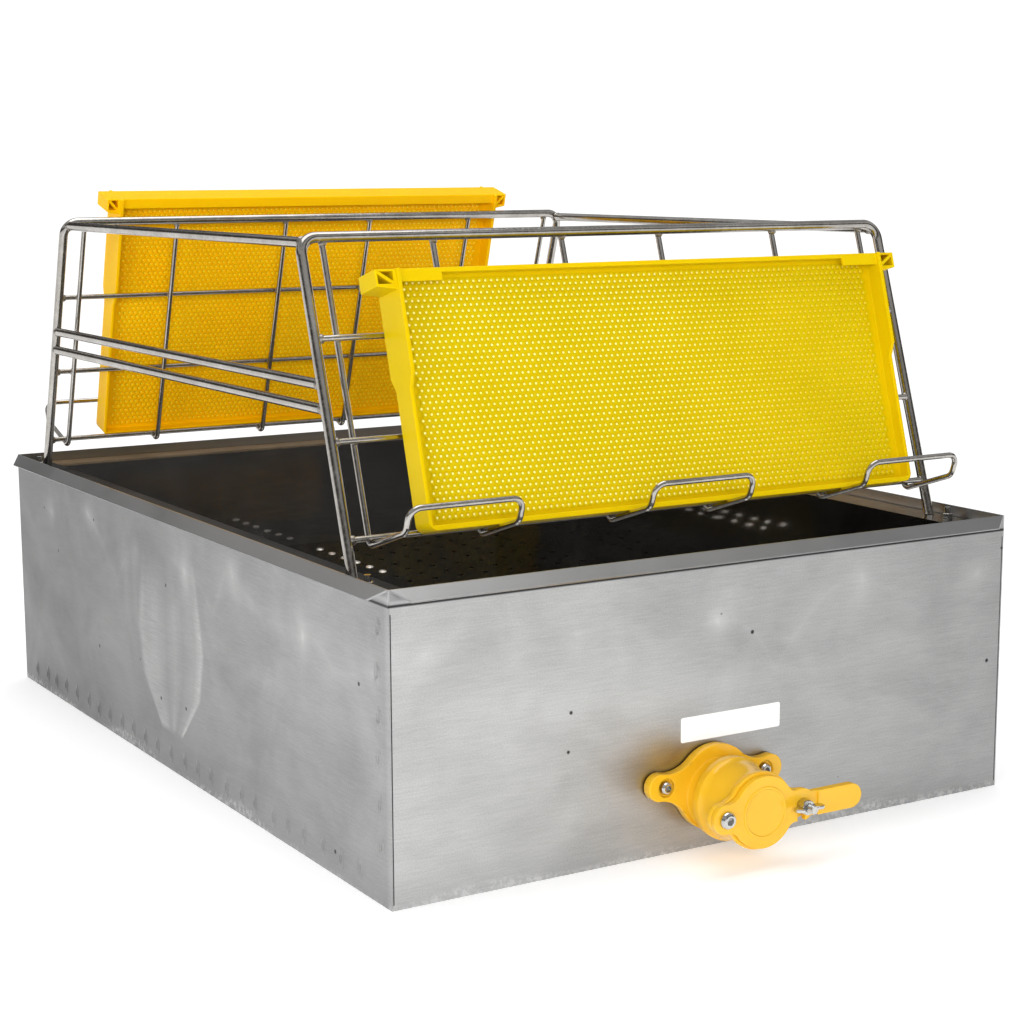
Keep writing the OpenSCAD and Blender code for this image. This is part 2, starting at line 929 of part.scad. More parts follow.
// Side outline, from the bottom up, looking along the frame
module bar_profile(h) {
  high = h * (1 - shoulder_share);
  low = high - shoulder_step;
  polygon([[-lower_w / 2, 0], [lower_w / 2, 0], [lower_w / 2, low], [shoulder_w / 2, high],
    [shoulder_w / 2, h], [-shoulder_w / 2, h], [-shoulder_w / 2, high], [-lower_w / 2, low]]);
}

// Face outline with round bottom corners
module comb_outline(l, h) {
  translate([-l / 2, comb_round])
    square([l, h - comb_round]);
  translate([comb_round - l / 2, 0])
    square([l - 2 * comb_round, comb_round]);
  for (s = [-1, 1])
    translate([s * (l / 2 - comb_round), comb_round])
      circle(r = comb_round);
}

module comb_bars(l, h) {
  intersection() {
    translate([-l / 2, 0, 0])
      rotate([90, 0, 90])
        linear_extrude(l)
          bar_profile(h);
    translate([0, shoulder_w / 2 + over, 0])
      rotate([90, 0, 0])
        linear_extrude(shoulder_w + 2 * over)
          difference() {
            comb_outline(l, h);
            translate([bar_t - l / 2, bottom_t])
              square([l - 2 * bar_t, h]);
          }
  }
}

// A lug with two pockets in each face, either side of a slanted rib
module lug(l, out, h) {
  root_x = l / 2;
  tip_x = root_x + out;
  high = h - lug_rib;
  low = h - lug_tip + lug_rib;
  near = root_x + lug_rib;
  far = tip_x - lug_rib;
  translate([0, top_w / 2, 0])
    rotate([90, 0, 0])
      difference() {
        linear_extrude(top_w)
          polygon([[root_x - lug_lap, h], [tip_x, h], [tip_x, h - lug_tip],
            [root_x, h - lug_root], [root_x - lug_lap, h - lug_root]]);
        for (z = [-over, top_w / 2 + lug_rib / 2])
          translate([0, 0, z])
            linear_extrude(top_w / 2 - lug_rib / 2 + over) {
              polygon([[near, high], [near, low + lug_rib], [far - lug_rib, high]]);
              polygon([[far, low], [far, high - lug_rib], [near + lug_rib, low]]);
            }
      }
}

// One side of the top bar, deeper at its ends
module bar_side(l, skirt, h) {
  translate([-l / 2, top_w / 2 - deck_t, h - skirt])
    cube([l, deck_t, skirt]);
  for (x = [-l / 2, l / 2 - end_skirt_l])
    translate([x, top_w / 2 - deck_t, h - end_skirt])
      cube([end_skirt_l, deck_t, end_skirt]);
}

module comb(l, out, h, skirt) {
  color("yellow") {
    comb_bars(l, h);
    translate([0, 0, h - deck_t])
      box(l, top_w, deck_t);
    for (s = [0, 1])
      mirror([0, s, 0])
        bar_side(l, skirt, h);
    for (s = [0, 1])
      mirror([s, 0, 0])
        lug(l, out, h);
    translate([0, 0, bottom_t])
      box(l - 2 * bar_t, sheet_comb_t, h - bottom_t - deck_t);
  }
}

module front_comb() {
  translate(panel(-1, front_comb_x, comb_off, comb_up))
    rotate([-comb_lean, 0, 0])
      comb(front_comb_l, front_lug, front_comb_h, front_skirt);
}

module back_comb() {
  translate(panel(1, back_comb_x, comb_off, comb_up))
    rotate([comb_lean, 0, 0])
      comb(back_comb_l, back_lug, back_comb_h, back_skirt);
}

floor_pan();
front_wall();
back_wall();
left_wall();
right_wall();
rail_left();
rail_right();
gate_gasket();
gate_housing();
outlet_seal();
ear_bolts();
ear_nuts();
pivot_bolt();
pivot_nut();
clamp_stud();
gate_blade();
wing_nut();
tray_floor();
tray_front();
tray_back();
tray_left();
tray_right();
stop_studs();
stop_nuts();
front_hoop();
back_hoop();
tie_left();
tie_right();
side_rail_low();
side_rail_high();
front_loop_left();
front_loop_middle();
front_loop_right();
back_loop_left();
back_loop_middle();
back_loop_right();
front_wire_low();
front_wire_mid();
front_wire_top();
back_wire_low();
back_wire_mid();
back_wire_top();
front_comb();
back_comb();
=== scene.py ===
"""Looks of the uncapping tank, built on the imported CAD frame. Metres, same frame as the CAD."""

import json
import math

import bpy
from mathutils import Matrix, Vector, noise


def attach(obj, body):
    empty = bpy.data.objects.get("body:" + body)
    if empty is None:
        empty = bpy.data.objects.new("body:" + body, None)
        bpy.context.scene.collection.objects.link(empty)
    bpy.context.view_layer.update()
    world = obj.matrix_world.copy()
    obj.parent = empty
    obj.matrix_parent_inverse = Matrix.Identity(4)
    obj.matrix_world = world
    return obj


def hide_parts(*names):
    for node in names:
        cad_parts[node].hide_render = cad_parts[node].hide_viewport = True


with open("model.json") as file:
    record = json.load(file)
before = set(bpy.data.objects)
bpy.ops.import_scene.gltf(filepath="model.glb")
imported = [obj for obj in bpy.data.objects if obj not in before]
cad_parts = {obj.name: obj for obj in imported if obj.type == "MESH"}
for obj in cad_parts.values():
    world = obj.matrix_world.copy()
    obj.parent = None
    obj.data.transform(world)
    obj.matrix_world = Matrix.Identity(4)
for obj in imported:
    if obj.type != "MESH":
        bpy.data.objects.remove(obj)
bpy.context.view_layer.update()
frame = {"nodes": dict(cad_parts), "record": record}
NODES = frame["nodes"]
scene = bpy.context.scene
MM = 0.001

# Sizes repeated from the CAD, in mm
TANK_W, TANK_D = 560.0, 780.0
LEDGE_Z, TRAY_TOP_Z = 216.5, 111.5
HOLE_R, HOLE_PITCH, HOLES_Y = 2.75, 28.0, 24
LEAN = math.radians(18.0)
RACK_H, HOOP_BEND = 237.5, 13.0
FOOT_HALF, RACK_Y, POST_X = 326.5, 11.5, 268.0
PANEL_L = RACK_H / math.cos(LEAN)
ROD_R, WIRE_R, WIRE_OFF = 4.0, 2.25, 2.3
SHELF_UP, ROOT_BEND = 24.0, 5.2
MID_WIRE_SHARE, TOP_WIRE_SHARE = 0.4, 0.7
LOW_RAIL_SHARE, HIGH_RAIL_SHARE = 0.495, 0.568
LOW_UP, MID_UP, TOP_UP = SHELF_UP + ROOT_BEND, MID_WIRE_SHARE * PANEL_L, TOP_WIRE_SHARE * PANEL_L
LOW_RAIL_UP, HIGH_RAIL_UP = LOW_RAIL_SHARE * PANEL_L, HIGH_RAIL_SHARE * PANEL_L
LOOP_PITCH, LOOP_HALF = 204.0, 45.5
TIE_IN = HOOP_BEND * (1 - math.cos(math.radians(45)))
SHOULDER_HALF, LOWER_HALF, SEAT_GAP = 16.5, 11.0, 0.3
COMB_TIP = math.atan((SHOULDER_HALF - LOWER_HALF - SEAT_GAP) / (TOP_UP - LOW_UP))
COMB_LEAN = LEAN - COMB_TIP
COMB_UP = SHELF_UP + WIRE_R + SEAT_GAP + LOWER_HALF * math.sin(COMB_TIP)
COMB_OFF = (WIRE_OFF + WIRE_R + SEAT_GAP + SHOULDER_HALF / math.cos(COMB_TIP)
            - (TOP_UP - COMB_UP) * math.tan(COMB_TIP))
FRONT_COMB = {"x": 9.0, "length": 448.0, "height": 189.0}
BACK_COMB = {"x": -8.0, "length": 407.0, "height": 240.0}
GATE_X, GATE_Z = -11.0, 43.5
GATE_OUT = Vector((0.0, -1.0, 0.0))
RIGHT, UP = Vector((1.0, 0.0, 0.0)), Vector((0.0, 0.0, 1.0))


def panel(side, x, off, up):
    """A point on a rack panel, in mm: side is -1 at the front and 1 at the back."""
    return Vector((x, RACK_Y + side * (FOOT_HALF - up * math.sin(LEAN) + off * math.cos(LEAN)),
                   LEDGE_Z + up * math.cos(LEAN) + off * math.sin(LEAN)))


# Materials

class Nodes:
    """Short names for building a node tree."""

    def __init__(self, name):
        self.mat = bpy.data.materials.new(name)
        self.mat.use_nodes = True
        self.t = self.mat.node_tree
        self.bsdf = self.t.nodes["Principled BSDF"]
        self.co = self.t.nodes.new("ShaderNodeTexCoord").outputs["Object"]

    def set(self, **values):
        for key, value in values.items():
            self.bsdf.inputs[key.replace("_", " ")].default_value = value

    def put(self, value, socket):
        """Links a socket, or sets a number or a colour."""
        if isinstance(value, bpy.types.NodeSocket):
            self.t.links.new(value, socket)
        elif isinstance(value, (tuple, list)):
            socket.default_value = (*value, 1.0)
        else:
            socket.default_value = value

    def stretch(self, x, y, z):
        n = self.t.nodes.new("ShaderNodeMapping")
        n.inputs["Scale"].default_value = (x, y, z)
        self.put(self.co, n.inputs["Vector"])
        return n.outputs["Vector"]

    def axis(self, index):
        n = self.t.nodes.new("ShaderNodeSeparateXYZ")
        self.put(self.co, n.inputs[0])
        return n.outputs[index]

    def math(self, op, a, b=0.0):
        n = self.t.nodes.new("ShaderNodeMath")
        n.operation = op
        self.put(a, n.inputs[0])
        self.put(b, n.inputs[1])
        return n.outputs[0]

    def noise(self, scale, detail=3.0, rough=0.5, at=None, distort=0.0):
        n = self.t.nodes.new("ShaderNodeTexNoise")
        n.inputs["Scale"].default_value = scale
        n.inputs["Detail"].default_value = detail
        n.inputs["Roughness"].default_value = rough
        n.inputs["Distortion"].default_value = distort
        self.put(at or self.co, n.inputs["Vector"])
        return n.outputs["Fac"]

    def spots(self, scale):
        n = self.t.nodes.new("ShaderNodeTexVoronoi")
        n.inputs["Scale"].default_value = scale
        self.put(self.co, n.inputs["Vector"])
        return n.outputs["Distance"]

    def ramp(self, fac, *stops):
        n = self.t.nodes.new("ShaderNodeValToRGB")
        el = n.color_ramp.elements
        while len(el) < len(stops):
            el.new(0.5)
        for e, (pos, col) in zip(el, stops):
            e.position = pos
            e.color = (*col, 1.0) if isinstance(col, (tuple, list)) else (col, col, col, 1.0)
        self.put(fac, n.inputs["Fac"])
        return n.outputs["Color"]

    def mix(self, fac, a, b, mode="MIX"):
        n = self.t.nodes.new("ShaderNodeMix")
        n.data_type = "RGBA"
        n.blend_type = mode
        self.put(fac, n.inputs[0])
        self.put(a, n.inputs[6])
        self.put(b, n.inputs[7])
        return n.outputs[2]

    def bump(self, height, strength, distance, normal=None):
        n = self.t.nodes.new("ShaderNodeBump")
        n.inputs["Strength"].default_value = strength
        n.inputs["Distance"].default_value = distance
        self.put(height, n.inputs["Height"])
        if normal:
            self.put(normal, n.inputs["Normal"])
        return n.outputs["Normal"]

    def to(self, value, key):
        self.put(value, self.bsdf.inputs[key])


def wall_steel(name, along, low, high, distant_painted_shade, lip_painted_shade, weld_at, weld_pitch, dent=None):
    """Mill-finish wall: rolling streaks, clouds, pits, and the buckles round a row of spot welds, with
    painted highlights round the welds and the dent, painted shade towards the far end and under the lip, and
    a painted shade tone on the lip.

    along is the wall's long axis; the next values are how dark the painted shade makes its far end and the
    flat tone painted on its lip as shade; weld_at and weld_pitch are the welds' first place and spacing in
    metres, and dent the (place, height, half width, half height) of one shallow dent."""
    m = Nodes(name)
    m.set(Metallic=1.0)
    u, z = m.axis(along), m.axis(2)
    streak = m.noise(3.2, 5.0, 0.6, at=m.stretch(1.0, 1.0, 5.0), distort=0.4)
    cloud = m.noise(11.0, 4.0, 0.6, distort=0.8)
    grain = m.noise(900.0, 2.0, 0.6)
    lines = m.noise(55.0, 2.0, 0.6, at=m.stretch(1.0, 1.0, 26.0))
    base = m.ramp(m.mix(0.4, streak, cloud), (0.34, low), (0.64, high))
    # Painted shade: the colour darkens towards the wall's far end, after a painted highlight on a narrow
    # strip at the front fold of the side walls.
    shade = m.ramp(m.math("ADD", u, 0.5), (0.112, 1.0), (0.116, 0.82), (0.3, 0.74), (0.8, 0.72 * distant_painted_shade))
    base = m.mix(1.0, base, shade, "MULTIPLY")
    base = m.mix(0.22, base, m.ramp(grain, (0.3, 0.28), (0.7, 0.74)), "OVERLAY")
    base = m.mix(0.12, base, m.ramp(lines, (0.35, 0.3), (0.65, 0.72)), "OVERLAY")

    # Painted highlights: soft glints round each spot weld and bright lines along the creases between them,
    # broken into patches; the same values drive the bumps of the buckles.
    wobble = m.math("MULTIPLY", m.math("SUBTRACT", m.noise(9.0, 1.0, 0.4), 0.5), 0.09)
    sway = m.math("MULTIPLY", m.math("SUBTRACT", m.noise(9.0, 1.0, 0.5), 0.5), 0.06)
    turn = m.math("FRACT", m.math("DIVIDE", m.math("SUBTRACT", m.math("ADD", u, sway), weld_at), weld_pitch))
    du = m.math("MULTIPLY", m.math("SUBTRACT", turn, 0.5), weld_pitch)
    dz = m.math("ADD", m.math("SUBTRACT", z, 0.177), wobble)
    du2 = m.math("MULTIPLY", du, du)
    reach = m.math("SQRT", m.math("ADD", m.math("MULTIPLY", du2, 2.2), m.math("MULTIPLY", dz, dz)))
    glint_patchiness = m.ramp(m.noise(6.0, 2.0, 0.5), (0.44, 0.0), (0.66, 1.0))
    weld_painted_glint = m.ramp(m.math("DIVIDE", reach, 0.03), (0.0, 0.40), (0.2, 0.20), (0.6, 0.05), (1.0, 0.0))
    off = m.math("ABSOLUTE", m.math("ADD", dz, m.math("MULTIPLY", du2, 7.0)))
    crease_painted_glint = m.ramp(m.math("DIVIDE", off, 0.03), (0.0, 0.11), (0.10, 0.07), (0.35, 0.03), (1.0, 0.0))
    painted_glint_and_buckle = m.mix(1.0, m.mix(1.0, weld_painted_glint, crease_painted_glint, "ADD"), glint_patchiness, "MULTIPLY")
    # Painted highlights: bright streaked rings round the rim of the one dent, also used as its bump.
    if dent:
        at, height, half_w, half_h = dent
        a = m.math("DIVIDE", m.math("SUBTRACT", u, at), half_w)
        b = m.math("DIVIDE", m.math("SUBTRACT", z, height), half_h)
        rise = m.math("MULTIPLY", m.math("ADD", b, 1.0), 0.5)
        taper = m.ramp(rise, (0.0, 0.30), (0.25, 0.86), (0.5, 1.0), (1.0, 0.78))
        across = m.math("MULTIPLY", m.math("ADD", m.math("DIVIDE", a, taper), 1.0), 0.5)
        ring = m.ramp(across, (0.0, 0.0), (0.04, 0.62), (0.12, 0.16), (0.3, 0.03), (0.42, 0.24), (0.55, 0.08),
                      (0.7, 0.30), (0.94, 0.36), (1.0, 0.0))
        falls = m.ramp(rise, (0.0, 0.0), (0.03, 1.0), (0.12, 0.8), (0.6, 0.7), (0.85, 0.25), (1.0, 0.0))
        ring = m.mix(1.0, ring, falls, "MULTIPLY")
        brush = m.ramp(m.noise(40.0, 3.0, 0.7, at=m.stretch(1.0, 1.0, 30.0)), (0.3, 0.35), (0.7, 1.0))
        painted_glint_and_buckle = m.mix(1.0, painted_glint_and_buckle, m.mix(1.0, ring, brush, "MULTIPLY"), "ADD")
    # The painted highlights lighten the colour towards near-white.
    base = m.mix(painted_glint_and_buckle, base, (0.85, 0.85, 0.84))

    # Whitening in flecks along the bottom edge.
    low_edge = m.math("DIVIDE", m.math("ADD", z, m.math("MULTIPLY", wobble, 0.25)), 0.02)
    flecks = m.ramp(m.noise(260.0, 3.0, 0.7), (0.45, 0.0), (0.6, 1.0))
    low_edge_whitening = m.mix(1.0, m.ramp(low_edge, (0.1, 0.4), (0.35, 0.0)), flecks, "MULTIPLY")
    base = m.mix(low_edge_whitening, base, (0.8, 0.8, 0.79))
    base = m.mix(1.0, base, m.ramp(m.spots(30.0), (0.040, 0.12), (0.058, 1.0)), "MULTIPLY")
    height = m.math("MULTIPLY", z, 4.0)
    # Painted shade: the lip takes a flat darker tone.
    base = m.mix(m.ramp(height, (0.866, 0.0), (0.868, 0.9)), base, (lip_painted_shade, lip_painted_shade, lip_painted_shade))
    # Painted shadow: a thin dark line just below the lip.
    under_lip_painted_shadow = m.ramp(height, (0.848, 1.0), (0.851, 0.1), (0.857, 0.1), (0.860, 1.0))
    m.to(m.mix(1.0, base, under_lip_painted_shadow, "MULTIPLY"), "Base Color")
    m.to(m.ramp(cloud, (0.3, 0.42), (0.7, 0.30)), "Roughness")
    soft = m.bump(m.noise(4.2, 1.0, 0.4), 1.0, 0.004)
    m.to(m.bump(grain, 0.10, 0.0003, m.bump(painted_glint_and_buckle, 0.5, 0.0012, soft)), "Normal")
    return m.mat


def sheet_steel(name, low, high, rough_lo, rough_hi, wave, ledge_painted_tint=None, ledge_rough=0.1, dull_and_painted_shade=None):
    """Bright sheet: faint clouds and waviness, fine scratches and water spots.

    The ledge tint is painted reflection: it colours the top flange and tints all reflections; the dulling
    value is painted shade that darkens the wall below the flange, and it also makes the sheet less metallic."""
    m = Nodes(name)
    m.set(Metallic=0.8 if dull_and_painted_shade else 1.0)
    cloud = m.noise(13.0, 4.0, 0.6, distort=0.6)
    scratch = m.noise(35.0, 3.0, 0.7, at=m.stretch(1.0, 14.0, 14.0))
    base = m.ramp(cloud, (0.3, low), (0.7, high))
    base = m.mix(0.2, base, m.ramp(scratch, (0.35, 0.25), (0.65, 0.75)), "OVERLAY")
    specks = m.ramp(m.spots(60.0), (0.03, 1.0), (0.06, 0.0))
    base = m.mix(specks, base, (0.75, 0.75, 0.73))
    rough = m.ramp(scratch, (0.3, rough_lo), (0.7, rough_hi))
    if ledge_painted_tint:
        # Painted reflection: the top flange takes the ledge tint.
        top = m.ramp(m.math("MULTIPLY", m.axis(2), 4.0), (0.856, 0.0), (0.860, 1.0))
        # Painted shade: the wall below the flange is darkened.
        wall = m.mix(1.0, base, (dull_and_painted_shade, dull_and_painted_shade, dull_and_painted_shade), "MULTIPLY") if dull_and_painted_shade else base
        base = m.mix(top, wall, m.mix(1.0, base, ledge_painted_tint, "MULTIPLY"))
        rough = m.mix(top, rough, (ledge_rough, ledge_rough, ledge_rough))
        # Painted reflection: the ledge tint also tints the reflections.
        m.set(Specular_Tint=(*ledge_painted_tint, 1.0))
    m.to(base, "Base Color")
    m.to(rough, "Roughness")
    m.to(m.bump(m.noise(7.0, 2.0, 0.5), 1.0, wave), "Normal")
    return m.mat


def rod_steel(name, low, high, rough):
    """Drawn rod: fine lines, slight heat tint and patchy polish."""
    m = Nodes(name)
    m.set(Metallic=1.0)
    fine = m.noise(420.0, 2.0, 0.6)
    cloud = m.noise(32.0, 3.0, 0.6)
    base = m.ramp(cloud, (0.3, low), (0.7, high))
    m.to(m.mix(0.3, base, m.ramp(fine, (0.3, 0.35), (0.7, 0.72)), "OVERLAY"), "Base Color")
    m.to(m.ramp(fine, (0.3, rough), (0.7, rough + 0.12)), "Roughness")
    m.to(m.bump(cloud, 0.15, 0.0004), "Normal")
    return m.mat


def plastic(name, low, high, rough, translucent, gloss=0.5, unglinted_tone=None):
    """Moulded plastic: slight cloudiness in the colour, soft orange peel on the gloss.

    The last value is the tone it fades to towards the right, where its painted highlight dies away."""
    m = Nodes(name)
    m.set(IOR=1.49, Specular_IOR_Level=gloss)
    m.set(Subsurface_Weight=translucent, Subsurface_Radius=(0.004, 0.002, 0.0004), Subsurface_Scale=1.0)
    cloud = m.noise(14.0, 3.0, 0.6)
    fine = m.noise(260.0, 2.0, 0.5)
    base = m.ramp(cloud, (0.3, low), (0.7, high))
    if unglinted_tone:
        # Painted highlight fading out: the colour turns to the given tone towards the right.
        base = m.mix(m.ramp(m.math("ADD", m.axis(0), 0.5), (0.5, 0.0), (0.66, 0.8)), base, unglinted_tone)
    m.to(base, "Base Color")
    m.to(m.ramp(fine, (0.3, rough), (0.7, rough + 0.08)), "Roughness")
    m.to(m.bump(fine, 0.08, 0.0004), "Normal")
    return m.mat


def rubber(name):
    """Black rubber with a fine grain."""
    m = Nodes(name)
    fine = m.noise(500.0, 3.0, 0.6)
    m.to(m.ramp(fine, (0.3, 0.015), (0.7, 0.035)), "Base Color")
    m.to(m.ramp(fine, (0.3, 0.6), (0.7, 0.8)), "Roughness")
    m.to(m.bump(fine, 0.3, 0.0005), "Normal")
    return m.mat


def paper(name):
    """White label stock with a faint grain."""
    m = Nodes(name)
    fine = m.noise(350.0, 3.0, 0.6)
    m.to(m.ramp(fine, (0.3, 0.88), (0.7, 0.94)), "Base Color")
    m.to(m.ramp(fine, (0.3, 0.35), (0.7, 0.5)), "Roughness")
    m.to(m.bump(fine, 0.05, 0.0003), "Normal")
    return m.mat


# The side and end walls are one steel: the side walls take darker tones as painted shade and the end walls
# lighter ones as painted light; each tuple also holds the painted shade at the far end and the painted shade
# tone of the lip.
SIDE = (1, (0.35, 0.352, 0.352), (0.45, 0.452, 0.45), 0.55, 0.46, -0.195, 0.108)
SHADED_SIDE_WALL = wall_steel("shaded_side_wall_look", *SIDE)
SHADED_LEFT_WALL = wall_steel("shaded_left_wall_look", *SIDE, dent=(0.004, 0.113, 0.074, 0.080))
LIT_END_WALL = wall_steel("lit_end_wall_look", 0, (0.56, 0.562, 0.56), (0.72, 0.722, 0.716), 0.68, 0.32,
                      -0.191, 0.126)
FOLD = sheet_steel("fold_look", (0.30, 0.30, 0.295), (0.42, 0.42, 0.41), 0.30, 0.42, 0.001)
TRAY = ((0.36, 0.358, 0.352), (0.52, 0.517, 0.508), 0.03, 0.07, 0.0009)
MATS = {
    "tank_sheet": FOLD,
    "tray_sheet": sheet_steel("tray_sheet_look", *TRAY),
    "rack_rod": rod_steel("rack_rod_look", (0.34, 0.32, 0.295), (0.50, 0.48, 0.45), 0.12),
    "fastener_steel": rod_steel("fastener_steel_look", (0.50, 0.50, 0.49), (0.68, 0.68, 0.66), 0.16),
    "gate_plastic": plastic("gate_plastic_look", (0.75, 0.41, 0.011), (0.80, 0.465, 0.022), 0.14, 0.2),
    "comb_plastic": plastic("comb_plastic_look", (0.66, 0.465, 0.001), (0.71, 0.505, 0.002), 0.34, 0.3, 0.06),
    "seal_rubber": rubber("seal_rubber_look"),
}
# The left tray's ledge gets a dark painted reflection; the back tray's ledge a warm painted reflection of the
# back comb, and its wall painted shade.
LEFT_TRAY = sheet_steel("left_tray_look", *TRAY, ledge_painted_tint=(0.25, 0.25, 0.25), ledge_rough=0.55)
BACK_TRAY = sheet_steel("back_tray_look", *TRAY, ledge_painted_tint=(1.0, 0.80, 0.58), ledge_rough=0.30, dull_and_painted_shade=0.45)
# Near-white steel for the hole rims: painted glints.
HOLE_RIM_GLINT = rod_steel("hole_rim_painted_glint_look", (0.86, 0.86, 0.85), (0.95, 0.95, 0.94), 0.40)
# The back comb takes a brighter, more orange copy of the comb plastic: painted light shining through it from
# behind.
BACK_COMB_PAINTED_BACKLIGHT = plastic("back_comb_painted_backlight_look", (0.97, 0.52, 0.001), (1.0, 0.57, 0.002), 0.34, 0.3, 0.06)
# Cell floors take brighter copies of the comb plastic as painted highlights and cell walls darker ones as
# painted shade.
CELL_FLOOR_GLINT = plastic("cell_floor_painted_glint_look", (0.95, 0.86, 0.22), (1.0, 0.93, 0.36), 0.16, 0.3, 0.3,
                     unglinted_tone=(0.72, 0.54, 0.004))
CELL_WALL_SHADE = plastic("cell_wall_painted_shade_look", (0.57, 0.42, 0.001), (0.62, 0.455, 0.002), 0.36, 0.3, 0.05)
BACK_CELL_FLOOR_GLINT = plastic("back_cell_floor_look", (1.0, 0.70, 0.02), (1.0, 0.77, 0.04), 0.2, 0.3, 0.3)
BACK_CELL_WALL_SHADE = plastic("back_cell_wall_look", (0.92, 0.46, 0.001), (0.97, 0.52, 0.002), 0.36, 0.3, 0.05)
BEAD = rod_steel("weld_bead_look", (0.22, 0.20, 0.18), (0.46, 0.43, 0.39), 0.30)
# Black strips for the corner joints: painted shadow.
SEAM_SHADOW = rubber("seam_shadow_look")
LABEL = paper("label_look")
NODE_MATS = {"left_wall": SHADED_LEFT_WALL, "right_wall": SHADED_SIDE_WALL, "front_wall": LIT_END_WALL, "back_wall": LIT_END_WALL,
             "tray_left": LEFT_TRAY, "tray_back": BACK_TRAY, "back_comb": BACK_COMB_PAINTED_BACKLIGHT}

for part in frame["record"]["subparts"]:
    obj = NODES[part["node"]]
    mat = NODE_MATS.get(part["node"], MATS[part["material_slot"]])
    if not obj.data.materials:
        obj.data.materials.append(mat)
    for i in range(len(obj.data.materials)):
        obj.data.materials[i] = mat


def soften(node, width, angle=35.0, segments=3):
    """Rounds a CAD node's edges; the width is in mm."""
    obj = NODES[node]
    weld = obj.modifiers.new("join", "WELD")
    weld.merge_threshold = 0.00001
    bevel = obj.modifiers.new("round", "BEVEL")
    bevel.width = width * MM
    bevel.segments = segments
    bevel.limit_method = "ANGLE"
    bevel.angle_limit = math.radians(angle)
    bevel.use_clamp_overlap = False
    bevel.harden_normals = True


for name, width in (("gate_housing", 0.8), ("gate_blade", 0.45), ("front_comb", 0.7), ("back_comb", 0.7),
                    ("wing_nut", 0.6), ("clamp_stud", 0.3), ("pivot_nut", 0.4), ("ear_nuts", 0.4),
                    ("stop_nuts", 0.4), ("gate_gasket", 0.4)):
    soften(name, width)


# Pieces

def add_mesh(name, verts, faces, mats, body, slot, index=None, smooth=False):
    """A piece from verts in mm, riding a body; index gives each face its material."""
    me = bpy.data.meshes.new(name)
    me.from_pydata([tuple(Vector(v) * MM) for v in verts], [], faces)
    for mt in mats:
        me.materials.append(mt)
    if index:
        me.polygons.foreach_set("material_index", index)
    if smooth:
        me.polygons.foreach_set("use_smooth", [True] * len(me.polygons))
    me.update()
    o = bpy.data.objects.new(name, me)
    scene.collection.objects.link(o)
    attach(o, body)
    return o


def lathe(at, axis, rings, count=48):
    """Verts and faces of a turned solid: rings are (radius, distance along the axis, round or hex)."""
    axis = axis.normalized()
    x = axis.orthogonal().normalized()
    y = axis.cross(x)
    verts, faces = [], []
    for radius, along, shape in rings:
        for k in range(count):
            a = 2 * math.pi * k / count
            flat = 1.0
            if shape == "hex":
                flat = math.cos(math.radians(30)) / math.cos(a % (math.pi / 3) - math.pi / 6)
            verts.append(at + axis * along + (x * math.cos(a) + y * math.sin(a)) * radius * flat)
    for j in range(len(rings) - 1):
        for k in range(count):
            q = (k + 1) % count
            faces.append((j * count + k, j * count + q, (j + 1) * count + q, (j + 1) * count + k))
    faces.append(tuple(range(count))[::-1])
    faces.append(tuple(range((len(rings) - 1) * count, len(rings) * count)))
    return verts, faces


def join(parts):
    """One list of verts and one of faces from several."""
    verts, faces = [], []
    for v, f in parts:
        n = len(verts)
        verts.extend(v)
        faces.extend(tuple(i + n for i in face) for face in f)
    return verts, faces


def socket_bolt(at, axis, shank_r, shank_from, head_r, head_h):
    """A button-head bolt with a hex socket; the head's underside is at the point given."""
    return lathe(at, axis, [
        (shank_r - 0.5, shank_from, "round"), (shank_r, shank_from + 0.5, "round"), (shank_r, 0.0, "round"),
        (head_r - 0.3, 0.0, "round"), (head_r, 0.4, "round"), (head_r * 0.98, head_h * 0.35, "round"),
        (head_r * 0.90, head_h * 0.66, "round"), (head_r * 0.76, head_h * 0.9, "round"),
        (head_r * 0.62, head_h, "round"), (head_r * 0.50, head_h, "hex"),
        (head_r * 0.46, head_h * 0.25, "hex")])


def thread(at, axis, radius, length, pitch, depth, steps=24):
    """A screw thread's ridge, wound round a stud."""
    axis = axis.normalized()
    x = axis.orthogonal().normalized()
    y = axis.cross(x)
    verts, faces = [], []
    for k in range(int(length / pitch * steps) + 1):
        a = 2 * math.pi * k / steps
        out = x * math.cos(a) + y * math.sin(a)
        here = at + axis * (pitch * k / steps)
        verts += [here + out * radius - axis * (pitch * 0.45), here + out * (radius + depth),
                  here + out * radius + axis * (pitch * 0.45)]
        if k:
            n = 3 * k
            faces += [(n - 3, n - 2, n + 1, n), (n - 2, n - 1, n + 2, n + 1)]
    return verts, faces


